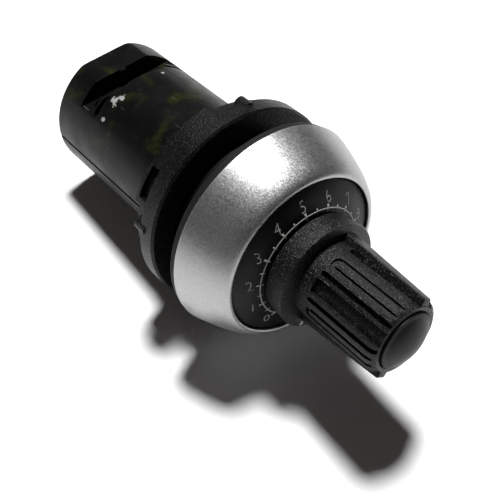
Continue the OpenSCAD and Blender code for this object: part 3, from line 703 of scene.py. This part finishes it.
class BuildBezel(bpy.types.Operator):
    """Build the satin ring round the dial and the seal behind it"""
    bl_idname = "potentiometer.build_bezel"
    bl_label = "Bezel and seal"

    def execute(self, context):
        ring = context.scene.pot_bezel
        dial = context.scene.pot_dial
        front = ring.rear + ring.depth
        lean, rise = 0.34 * MM, 0.18 * ring.depth
        crown_out, crown_ahead = 1.19 * MM, 1.11 * MM
        start_pull = (ring.outer_radius - lean, ring.rear + rise)
        lip_pull = (ring.lip_radius + crown_out, front + crown_ahead)
        inner = ring.outer_radius - ring.wall
        start, lip = (ring.outer_radius, ring.rear), (ring.lip_radius, front)
        outline = curve(start, start_pull, lip_pull, lip, 40) + [
            (ring.lip_radius, dial.seat - LEDGE),
            (inner, ring.rear + ring.inner_depth),
            (inner, ring.rear),
        ]
        piece("bezel_ring", turned(outline), "housing", "satin_silver", ["bezel"], edge=0.1 * MM)
        chamfer = 0.3 * MM
        seal = [
            (ring.seal_bore, 0.0),
            (ring.seal_radius - chamfer, 0.0),
            (ring.seal_radius, chamfer),
            (ring.seal_radius, ring.rear),
            (ring.seal_bore, ring.rear),
        ]
        piece("seal_ring", turned(seal), "housing", "seal_rubber", ["panel_seal"], edge=0.08 * MM)
        return {"FINISHED"}


def cone_station(dial, radius):
    """The station of the dial's surface at a radius."""
    rim_top = dial.seat + dial.rim
    if radius <= dial.hub_radius:
        return rim_top + dial.rise
    slope = dial.rise / (dial.radius - dial.bevel - dial.hub_radius)
    return rim_top + dial.rise - slope * (radius - dial.hub_radius)


def print_on_dial(name, dial, shapes):
    """Thin printed shapes, given flat as (across, up, lift) and laid on the dial's cone."""
    bm = joined(shapes)
    for vert in bm.verts:
        across, up, lift = vert.co
        radius = math.hypot(across, up)
        vert.co = (across, -cone_station(dial, radius) - lift, up)
    bmesh.ops.recalc_face_normals(bm, faces=bm.faces)
    piece(name, bm, "housing", "scale_ink")


def flat_strip(radii, start, end, lift, steps):
    """A strip of a ring between two angles, lifted a little: a bmesh of (across, up, lift)."""
    bm = bmesh.new()
    sunk = 0.25 * lift
    corners = [(r, sunk) for r in radii] + [(r, lift) for r in reversed(radii)]
    ring = [bm.verts.new((r * math.sin(start), r * math.cos(start), h)) for r, h in corners]
    edges = [bm.edges.new((ring[i - 1], ring[i])) for i in range(len(ring))]
    bmesh.ops.spin(bm, geom=ring + edges, cent=CENTRE, axis=(0, 0, -1), angle=end - start, steps=steps)
    bmesh.ops.holes_fill(bm, edges=[e for e in bm.edges if e.is_boundary])
    return bm


def digits(text, dial, angle, lift):
    """A printed number, upright like the dial's top: a bmesh of (across, up, lift)."""
    height = dial.number_height
    middle, thinner = 0.6 * lift, 0.02
    font = bpy.data.curves.new("digits", "FONT")
    font.body = text
    font.size = height / FIGURE
    font.align_x = "CENTER"
    font.align_y = "CENTER"
    font.extrude = lift - middle
    font.resolution_u = 6
    font.offset = -thinner * height
    holder = bpy.data.objects.new("digits", font)
    bpy.context.scene.collection.objects.link(holder)
    mesh = bpy.data.meshes.new_from_object(holder, depsgraph=bpy.context.evaluated_depsgraph_get())
    bm = bmesh.new()
    bm.from_mesh(mesh)
    bpy.data.objects.remove(holder)
    bpy.data.curves.remove(font)
    bpy.data.meshes.remove(mesh)
    bmesh.ops.remove_doubles(bm, verts=bm.verts, dist=WELD)
    bmesh.ops.scale(bm, vec=(dial.number_width, 1.0, 1.0), verts=bm.verts)
    place = (dial.number_radius * math.sin(angle), dial.number_radius * math.cos(angle), middle)
    bmesh.ops.translate(bm, vec=place, verts=bm.verts)
    return bm


class BuildDial(bpy.types.Operator):
    """Build the numbered plate and its printed scale"""
    bl_idname = "potentiometer.build_dial"
    bl_label = "Dial and scale"

    def execute(self, context):
        dial = context.scene.pot_dial
        rim_top = dial.seat + dial.rim
        top = rim_top + dial.rise
        groove_inner, groove_outer, groove_depth = 5.0 * MM, 5.8 * MM, 0.6 * MM
        wall, slant = 0.4 * MM, 1.2 * MM
        groove_floor = top - groove_depth
        ceiling = groove_floor - wall
        outline = [
            (dial.hole, ceiling),
            (dial.hub_radius - slant, ceiling),
            (dial.hub_radius, dial.seat),
            (dial.radius, dial.seat),
            (dial.radius, rim_top - dial.bevel),
            (dial.radius - dial.bevel, rim_top),
            (dial.hub_radius, top),
            (groove_outer, top),
            (groove_outer, groove_floor),
            (groove_inner, groove_floor),
            (groove_inner, top),
            (dial.hole, top),
        ]
        piece("dial_face", turned(outline), "housing", "dial_plastic", ["dial_plate"], edge=0.05 * MM)
        self.print_scale(dial)
        return {"FINISHED"}

    def print_scale(self, dial):
        """Prints the arc, its ticks and the numbers on the cone."""
        lift = 0.03 * MM
        tick_lift = 1.2 * lift
        half = dial.sweep / 2
        arc_half = 0.08 * MM
        shapes = [flat_strip(self.across(dial, arc_half), -half, half, lift, 150)]
        ticks = 2 * dial.numbers
        # Half the length and half the width of long and short ticks
        kinds = ((0.5 * MM, 0.12 * MM), (0.36 * MM, 0.08 * MM))
        for i in range(ticks + 1):
            angle = -half + dial.sweep * i / ticks
            reach, width = kinds[i % 2]
            turn_by = width / dial.arc_radius
            shapes.append(flat_strip(self.across(dial, reach), angle - turn_by, angle + turn_by,
                                     tick_lift, 2))
        for i in range(dial.numbers + 1):
            angle = -half + dial.sweep * i / dial.numbers
            shapes.append(digits(str(i), dial, angle, lift))
        print_on_dial("scale_print", dial, shapes)

    def across(self, dial, reach):
        """The radii across a strip on the arc, with the hub's edge among them."""
        return sorted((dial.arc_radius - reach, dial.hub_radius, dial.arc_radius + reach))


def grooved(radius, reach, start, low, high, sweep, corner):
    """A cutter for one flute: a sector from a radius out to another, with rounded corners at its low end."""
    bm = turned([(radius, low), (reach, low), (reach, high), (radius, high)], start=start, sweep=sweep,
                steps=24)
    middle = start + sweep / 2
    for vert in bm.verts:
        if vert.co.y < -low - WELD:
            continue
        angle = math.atan2(vert.co.x, vert.co.z)
        off = abs(math.remainder(angle - middle, math.tau))
        gone = corner - min(corner, (sweep / 2 - off) * reach)
        vert.co.y -= corner - math.sqrt(max(0.0, corner * corner - gone * gone))
    return bm


# The middle and half the width of each deep flute, and the middles of the narrow ribs, in degrees
# from the line of the wings
FLUTES = ((0, 23), (180, 23), (90, 11.5), (270, 11.5), (69.75, 3.75), (110.25, 3.75), (249.75, 3.75),
          (290.25, 3.75))
RIBS = (49, 131, 229, 311)


class BuildKnob(bpy.types.Operator):
    """Build the winged knob, its cap and its pointer's mark"""
    bl_idname = "potentiometer.build_knob"
    bl_label = "Knob"

    def execute(self, context):
        knob = context.scene.pot_knob
        rear = knob.skirt_rear
        front = rear + knob.skirt_length
        end = front + knob.grip_length
        rounding, softening = 0.3 * MM, 0.09 * MM
        grip_sunk, wings_sunk, wings_short = 0.5 * MM, 0.4 * MM, 0.1 * MM
        pocket_floor = end - knob.pocket_depth
        skirt = turned([
            (0.0, rear),
            (knob.skirt_radius - rounding, rear),
            (knob.skirt_radius, front - rounding),
            (knob.skirt_radius - softening, front - softening),
            (knob.skirt_radius - rounding, front),
            (0.0, front),
        ], closed=False)
        grip = self.grip(knob, front - grip_sunk, front + knob.grip_collar, end)
        wings = self.wings(knob, front - wings_sunk, end - wings_short)
        bore = turned([
            (0.0, rear - PAST),
            (knob.bore, rear - PAST),
            (knob.bore, pocket_floor),
            (knob.pocket, pocket_floor),
            (knob.pocket, end - knob.mouth),
            (knob.pocket + knob.mouth, end),
            (knob.pocket + knob.mouth, end + PAST),
            (0.0, end + PAST),
        ], closed=False, steps=96)
        for part in (grip, wings):
            turn_all(part, knob.pointer)
        shape = combined(combined(skirt, [grip, wings], "UNION"), [bore], "DIFFERENCE")
        piece("knob_grip", shape, "rotor", "knob_plastic", ["knob"], edge=0.07 * MM)
        self.cap(knob, end)
        self.mark(knob, front)
        return {"FINISHED"}

    def grip(self, knob, low, start, high):
        """The round core, with the flutes and the grooves beside the ribs cut into it."""
        land = knob.land_radius
        bevel = knob.grip_bevel
        core = turned([
            (0.0, low),
            (land, low),
            (land, high - 1.3 * bevel),
            (land - 0.3 * bevel, high - 0.5 * bevel),
            (land - bevel, high),
            (0.0, high),
        ], closed=False)
        above = high + PAST
        reach = land + PAST
        corner = 0.3 * MM
        cuts = []
        for middle, half in (map(math.radians, flute) for flute in FLUTES):
            cuts.append(grooved(knob.flute_radius, reach, middle - half, start, above, 2 * half, corner))
        floor = land - knob.groove_depth
        across = knob.rib_width + 2 * knob.groove_width
        half = across / 2 / land
        rib = knob.rib_width / 2 / land
        for middle in map(math.radians, RIBS):
            cut = grooved(floor, reach, middle - half, start, above, 2 * half, across / 2)
            kept = grooved(floor - PAST, reach + PAST, middle - rib, start + knob.groove_width,
                           above + PAST, 2 * rib, knob.rib_width / 2)
            cuts.append(combined(cut, [kept], "DIFFERENCE"))
        return combined(core, [joined(cuts)], "DIFFERENCE")

    def wings(self, knob, low, high):
        """The plate that stands out as two wings, growing thinner and lower to the front."""
        rounding, softening, corner = 0.22 * MM, 0.08 * MM, 0.16 * MM
        side = [
            (knob.wing_radius, low),
            (knob.wing_end_radius, high - rounding),
            (knob.wing_end_radius - softening, high - softening),
            (knob.wing_end_radius - rounding, high),
        ]
        outline = side + [(-r, s) for r, s in reversed(side)]
        bm = bmesh.new()
        ring = [bm.verts.new((-1.0, -s, r)) for r, s in outline]
        face = bm.faces.new(ring)
        drawn = bmesh.ops.extrude_face_region(bm, geom=[face])
        moved = [v for v in drawn["geom"] if isinstance(v, bmesh.types.BMVert)]
        bmesh.ops.translate(bm, vec=(2.0, 0, 0), verts=moved)
        for vert in bm.verts:
            along = (-vert.co.y - low) / (high - low)
            wide = knob.wing_thickness + (knob.wing_end_thickness - knob.wing_thickness) * along
            vert.co.x *= wide / 2
        bmesh.ops.recalc_face_normals(bm, faces=bm.faces)
        corners = [e for e in bm.edges if e.verts[0].co.x * e.verts[1].co.x > 0
                   and min(abs(v.co.z) for v in e.verts) > knob.pocket]
        bmesh.ops.bevel(bm, geom=corners, offset=corner, affect="EDGES", segments=3, profile=0.5,
                        material=-1)
        return bm

    def cap(self, knob, end):
        """The smooth domed cap that fills the grip's pocket."""
        foot = knob.cap_rim - knob.cap_bevel
        foot_height = knob.cap_side + 0.3 * knob.cap_bevel
        sag = knob.cap_height - foot_height
        dome = (foot ** 2 + sag ** 2) / (2 * sag)
        half = math.asin(foot / dome)
        outline = [
            (0.0, end - knob.cap_spigot),
            (knob.cap_radius, end - knob.cap_spigot),
            (knob.cap_radius, end - knob.mouth / 2),
            (knob.cap_rim, end),
            (knob.cap_rim, end + knob.cap_side),
        ] + arc((0.0, end + knob.cap_height - dome), dome, math.pi / 2 - half, math.pi / 2, 24)
        bm = turned(outline, closed=False)
        piece("cap_dome", bm, "rotor", "cap_plastic", ["knob_cap"], edge=0.06 * MM)

    def mark(self, knob, front):
        """The white line printed on the skirt's front face."""
        low, high = knob.skirt_radius - 1.0 * MM, knob.skirt_radius - 0.3 * MM
        half, sunk, lift = 0.18 * MM, 0.01 * MM, 0.03 * MM
        bm = block((-half, front - sunk, low), (half, front + lift, high))
        turn_all(bm, knob.pointer)
        piece("pointer_mark", bm, "rotor", "mark_ink")


class BuildBody(bpy.types.Operator):
    """Build the front moulding with its threaded neck"""
    bl_idname = "potentiometer.build_body"
    bl_label = "Front body"

    def execute(self, context):
        body = context.scene.pot_body
        ring = context.scene.pot_bezel
        dial = context.scene.pot_dial
        gap, clear, rounding = 0.15 * MM, 0.05 * MM, 0.1 * MM
        shoulder_step = 0.8 * MM
        head = ring.outer_radius - ring.wall - gap
        inner_head = ring.lip_radius - gap
        web_front = body.web_rear + body.web_thickness
        core = body.neck_radius - body.thread_depth
        waist = body.neck_radius - body.groove
        collar_front = -rounding
        collar_rear = collar_front - body.collar
        start = collar_rear - body.groove_width
        shoulder = dial.hub_radius + shoulder_step
        outline = [
            (body.neck_bore, -body.neck_length),
            (core - rounding, -body.neck_length),
            (core, rounding - body.neck_length),
            (core, start),
            (waist, start),
            (waist, collar_rear),
            (body.neck_radius, collar_rear),
            (body.neck_radius, collar_front),
            (waist, collar_front),
            (waist, ring.rear),
            (head, ring.rear),
            (head, ring.rear + ring.inner_depth - clear),
            (inner_head, dial.seat - LEDGE - gap),
            (inner_head, dial.seat),
            (shoulder, dial.seat),
            (shoulder, web_front),
            (body.web_bore, web_front),
            (body.web_bore, body.web_rear),
            (body.neck_bore, body.web_rear),
        ]
        shape = combined(turned(outline, steps=160), [self.thread(body, core, start)], "UNION")
        piece("threaded_body", shape, "housing", "body_plastic", ["front_body"], edge=0.04 * MM)
        return {"FINISHED"}

    def thread(self, body, core, front):
        """The ridge of the thread, wound round the neck."""
        per_turn = 80
        run_out = 1.1
        turns = (body.neck_length + front) / body.pitch - run_out
        depth, clear = 0.15 * MM, 0.12 * MM
        sunk = core - depth
        # Half the width of the ridge at its crest and at its foot
        crest, foot = body.pitch / 16, body.pitch * 0.42
        start = -body.neck_length + foot + clear
        section = [(sunk, start - foot), (core, start - foot), (body.neck_radius, start - crest),
                   (body.neck_radius, start + crest), (core, start + foot), (sunk, start + foot)]
        bm = bmesh.new()
        ring = [bm.verts.new(spot(r, 0.0, s)) for r, s in section]
        edges = [bm.edges.new((ring[i - 1], ring[i])) for i in range(len(ring))]
        bmesh.ops.spin(bm, geom=ring + edges, cent=CENTRE, axis=SPINDLE,
                       dvec=(0, -body.pitch / per_turn, 0), angle=math.tau * turns,
                       steps=round(per_turn * turns))
        bmesh.ops.holes_fill(bm, edges=[e for e in bm.edges if e.is_boundary])
        bmesh.ops.recalc_face_normals(bm, faces=bm.faces)
        return bm


class BuildNut(bpy.types.Operator):
    """Build the castellated ring nut"""
    bl_idname = "potentiometer.build_nut"
    bl_label = "Ring nut"

    def execute(self, context):
        body = context.scene.pot_body
        front = body.nut_front
        flange_rear = front - body.nut_flange
        rear = front - body.nut_thickness
        inside = flange_rear + body.nut_flange / 3
        chamfer = 0.3 * MM
        pocket_start = math.radians(3)
        ring = turned([
            (body.nut_bore, rear),
            (body.nut_band, rear),
            (body.nut_band, flange_rear),
            (body.nut_radius, flange_rear),
            (body.nut_radius, front - chamfer),
            (body.nut_radius - chamfer, front),
            (body.nut_bore, front),
        ], steps=180)
        low = rear + body.block_step
        middle = (body.nut_bore + body.nut_band) / 2
        floor = body.block_radius - body.pocket_depth
        blocks, pockets, lugs = [], [], []
        for i in range(3):
            start = body.block_middle + math.tau * i / 3 - body.block_angle / 2
            blocks.append(self.sector(middle, body.block_radius, low, inside, start,
                                      body.block_angle, 26))
            pockets.append(self.sector(floor, body.nut_radius + PAST, low + body.pocket_wall,
                                       flange_rear, start + pocket_start, body.pocket_angle, 8))
        reach = body.lug_reach - body.lug_radius
        for i in range(4):
            angle = body.lug_angle + math.tau * i / 4
            lugs.append(rod(body.lug_radius, spot(reach, angle, flange_rear - body.lug_length),
                            spot(reach, angle, inside), 40))
        shape = combined(combined(ring, blocks + lugs, "UNION"), pockets, "DIFFERENCE")
        piece("castellated_nut", shape, "ring_nut", "nut_plastic", ["ring_nut"], edge=0.1 * MM)
        return {"FINISHED"}

    def sector(self, inner, outer, low, high, start, sweep, steps):
        """A piece of a ring between two radii, two stations and two angles."""
        return turned([(inner, low), (outer, low), (outer, high), (inner, high)], start=start,
                      sweep=sweep, steps=steps)


class BuildBarrel(bpy.types.Operator):
    """Build the rear moulding with its flat, wiring slot and screw wells"""
    bl_idname = "potentiometer.build_barrel"
    bl_label = "Barrel"

    def execute(self, context):
        barrel = context.scene.pot_barrel
        body = context.scene.pot_body
        end = -barrel.length
        cavity = barrel.radius - barrel.wall
        clear = 0.05 * MM
        spigot = body.neck_bore - clear
        neck = -body.neck_length
        corner = (barrel.radius - barrel.rounding, end + barrel.rounding)
        outline = arc(corner, barrel.rounding, -math.pi / 2, 0.0, 5) + [
            (barrel.radius, neck),
            (spigot, neck),
            (spigot, neck + barrel.spigot),
            (cavity, neck + barrel.spigot),
            (cavity, barrel.pocket_front),
            (0.0, barrel.pocket_front),
            (0.0, end),
        ]
        shape = combined(turned(outline, steps=160), self.cutters(barrel, end, neck), "DIFFERENCE")
        piece("barrel_shell", shape, "housing", "barrel_plastic", ["rear_barrel"], edge=0.1 * MM)
        return {"FINISHED"}

    def cutters(self, barrel, end, neck):
        """What is cut from the barrel: the flat, the slot, the seams and each terminal's holes."""
        wide = 2 * barrel.radius
        slot_rear = end + barrel.roof_length
        slot_front = slot_rear + barrel.slot_width
        cuts = [
            block((-wide, end - PAST, barrel.flat_height), (wide, end + barrel.flat_length, wide)),
            self.slot(barrel, slot_rear, slot_front, wide),
        ]
        for side in (-1, 1):
            face = side * barrel.radius
            cuts.append(block((face - barrel.seam_depth, end - PAST, -barrel.seam_width / 2),
                              (face + barrel.seam_depth, neck - PAST, barrel.seam_width / 2)))
        wire = slot_rear + barrel.nub_radius + barrel.wire_radius
        height = barrel.screw_height
        half = barrel.pocket_width / 2
        overlap = 0.01 * MM
        for i in (-1, 0, 1):
            x = i * barrel.terminal_pitch
            cuts += [
                block((x - half, barrel.pocket_rear, -barrel.pocket_bottom),
                      (x + half, barrel.pocket_front + overlap, barrel.pocket_top)),
                rod(barrel.wire_radius, (x, -wire, 0), (x, -wire, barrel.slot_floor + PAST), 40),
                rod(barrel.well_radius, (x, PAST - end, height), (x, -end - barrel.well_depth, height), 56),
                rod(barrel.shank_radius, (x, -end, height), (x, -barrel.pocket_rear - PAST, height), 40),
            ]
        return cuts

    def slot(self, barrel, low, high, wide):
        """The wiring slot, less the lip and the nub that stand in it."""
        cut = block((-wide, low, barrel.slot_floor), (wide, high, wide))
        end_gap = 1 * MM
        half = barrel.radius - barrel.lip_height - end_gap
        lip_front = high - barrel.lip_inset
        below = barrel.slot_floor - PAST
        lip = block((-half, lip_front - barrel.lip_thickness, below),
                    (half, lip_front, barrel.slot_floor + barrel.lip_height))
        nub = rod(barrel.nub_radius, (0, -low, below), (0, -low, barrel.flat_height), 32)
        return combined(cut, [lip, nub], "DIFFERENCE")


class FinishInside(bpy.types.Operator):
    """Give the working parts inside their metals and mouldings"""
    bl_idname = "potentiometer.finish_inside"
    bl_label = "Inner parts"

    def execute(self, context):
        for entry in frame["record"]["subparts"]:
            node = frame["nodes"][entry["node"]]
            node.data.materials.clear()
            node.data.materials.append(finish(entry["material_slot"]))
        return {"FINISHED"}


# The name, place, width and power of each lamp, in metres and watts
LAMPS = (("key", (0.13, 0.08, 0.60), 0.12, 4.6), ("side", (-0.50, -0.10, 0.35), 0.25, 0.04))


class SetStage(bpy.types.Operator):
    """Set the floor, the lights and the camera"""
    bl_idname = "potentiometer.set_stage"
    bl_label = "Stage"

    def execute(self, context):
        stage = context.scene.pot_stage
        self.floor(context, stage)
        self.world(context.scene)
        self.lights(context)
        self.camera(context.scene, stage)
        context.scene.view_settings.view_transform = "Standard"
        return {"FINISHED"}

    def floor(self, context, stage):
        """The floor that the bezel and the barrel's rear edge rest on."""
        ring = context.scene.pot_bezel
        barrel = context.scene.pot_barrel
        front = Vector((0, -ring.rear, -ring.outer_radius))
        back = Vector((0, barrel.length, -barrel.radius))
        lie = (back - front).normalized()
        across = Vector((1, 0, 0))
        up = across.cross(lie)
        clear = 0.02 * MM
        bm = bmesh.new()
        bmesh.ops.create_grid(bm, x_segments=1, y_segments=1, size=stage.floor_size / 2)
        bmesh.ops.rotate(bm, cent=CENTRE, matrix=Matrix.Rotation(math.atan2(lie.z, lie.y), 3, across),
                         verts=bm.verts)
        bmesh.ops.translate(bm, vec=front - up * clear, verts=bm.verts)
        floor = loose_object("floor", bm)
        floor.data.materials.append(self.floor_material(stage))

    def floor_material(self, stage):
        """Pale card, white to the camera and in reflections, where it keeps the shadow."""
        material, tree, shader = blank("floor_card")
        path = add(tree, "ShaderNodeLightPath").outputs
        seen = maths(tree, "MAXIMUM", path["Is Camera Ray"], path["Is Glossy Ray"])
        seen = maths(tree, "MAXIMUM", seen, path["Is Transmission Ray"])
        colour = blended(tree, seen, tuple(stage.floor), (stage.floor_seen,) * 3)
        tree.links.new(colour, shader.inputs["Base Color"])
        shader.inputs["Roughness"].default_value = 0.9
        shader.inputs["Specular IOR Level"].default_value = 0.1
        return material

    def world(self, scene):
        """Faint light from all round, brighter overhead."""
        world = bpy.data.worlds.new("studio")
        world.use_nodes = True
        scene.world = world
        tree = world.node_tree
        tree.nodes.clear()
        way = add(tree, "ShaderNodeTexCoord").outputs["Generated"]
        height = add(tree, "ShaderNodeSeparateXYZ", {"Vector": way}).outputs["Z"]
        level, overhead = 0.005, 0.032
        strength = ramp(tree, height, 0.0, 1.0, level, overhead)
        shade = add(tree, "ShaderNodeBackground", {"Color": (1.0, 0.86, 0.82, 1.0), "Strength": strength})
        out = tree.nodes.new("ShaderNodeOutputWorld")
        tree.links.new(shade.outputs[0], out.inputs["Surface"])

    def lights(self, context):
        """One high window-like light and a weak one from the left."""
        for name, place, size, power in LAMPS:
            lamp = bpy.data.lights.new(name, "AREA")
            lamp.shape = "DISK"
            lamp.size = size
            lamp.energy = power
            holder = bpy.data.objects.new(name, lamp)
            holder.location = place
            holder.rotation_euler = (-Vector(place)).to_track_quat("-Z", "Y").to_euler()
            context.scene.collection.objects.link(holder)

    def camera(self, scene, stage):
        """The camera at the photograph's viewing angle."""
        view = bpy.data.cameras.new("camera")
        view.lens = stage.lens
        view.sensor_width = 36.0
        view.clip_start = 0.005
        holder = bpy.data.objects.new("camera", view)
        holder.location = stage.camera_place
        holder.rotation_euler = stage.camera_turn
        scene.collection.objects.link(holder)
        scene.camera = holder


SETTINGS = {
    "pot_bezel": BezelSettings,
    "pot_dial": DialSettings,
    "pot_knob": KnobSettings,
    "pot_body": BodySettings,
    "pot_barrel": BarrelSettings,
    "pot_finish": FinishSettings,
    "pot_stage": StageSettings,
}
OPERATORS = [BuildBezel, BuildDial, BuildKnob, BuildBody, BuildNut, BuildBarrel, FinishInside, SetStage]


class PotentiometerPanel(bpy.types.Panel):
    """Lists the steps that build the potentiometer"""
    bl_idname = "VIEW3D_PT_potentiometer"
    bl_label = "Potentiometer"
    bl_space_type = "VIEW_3D"
    bl_region_type = "UI"
    bl_category = "Potentiometer"

    def draw(self, context):
        for operator in OPERATORS:
            self.layout.operator(operator.bl_idname)


def register():
    """Registers the settings, the steps and the panel."""
    for cls in [*SETTINGS.values(), *OPERATORS, PotentiometerPanel]:
        bpy.utils.register_class(cls)
    for name, cls in SETTINGS.items():
        setattr(bpy.types.Scene, name, PointerProperty(type=cls))


def unregister():
    """Takes them out again."""
    for name in SETTINGS:
        delattr(bpy.types.Scene, name)
    for cls in reversed([*SETTINGS.values(), *OPERATORS, PotentiometerPanel]):
        bpy.utils.unregister_class(cls)


def main():
    """Builds everything."""
    register()
    for operator in OPERATORS:
        step = operator.bl_idname.split(".")[1]
        getattr(bpy.ops.potentiometer, step)()


if __name__ == "__main__":
    main()
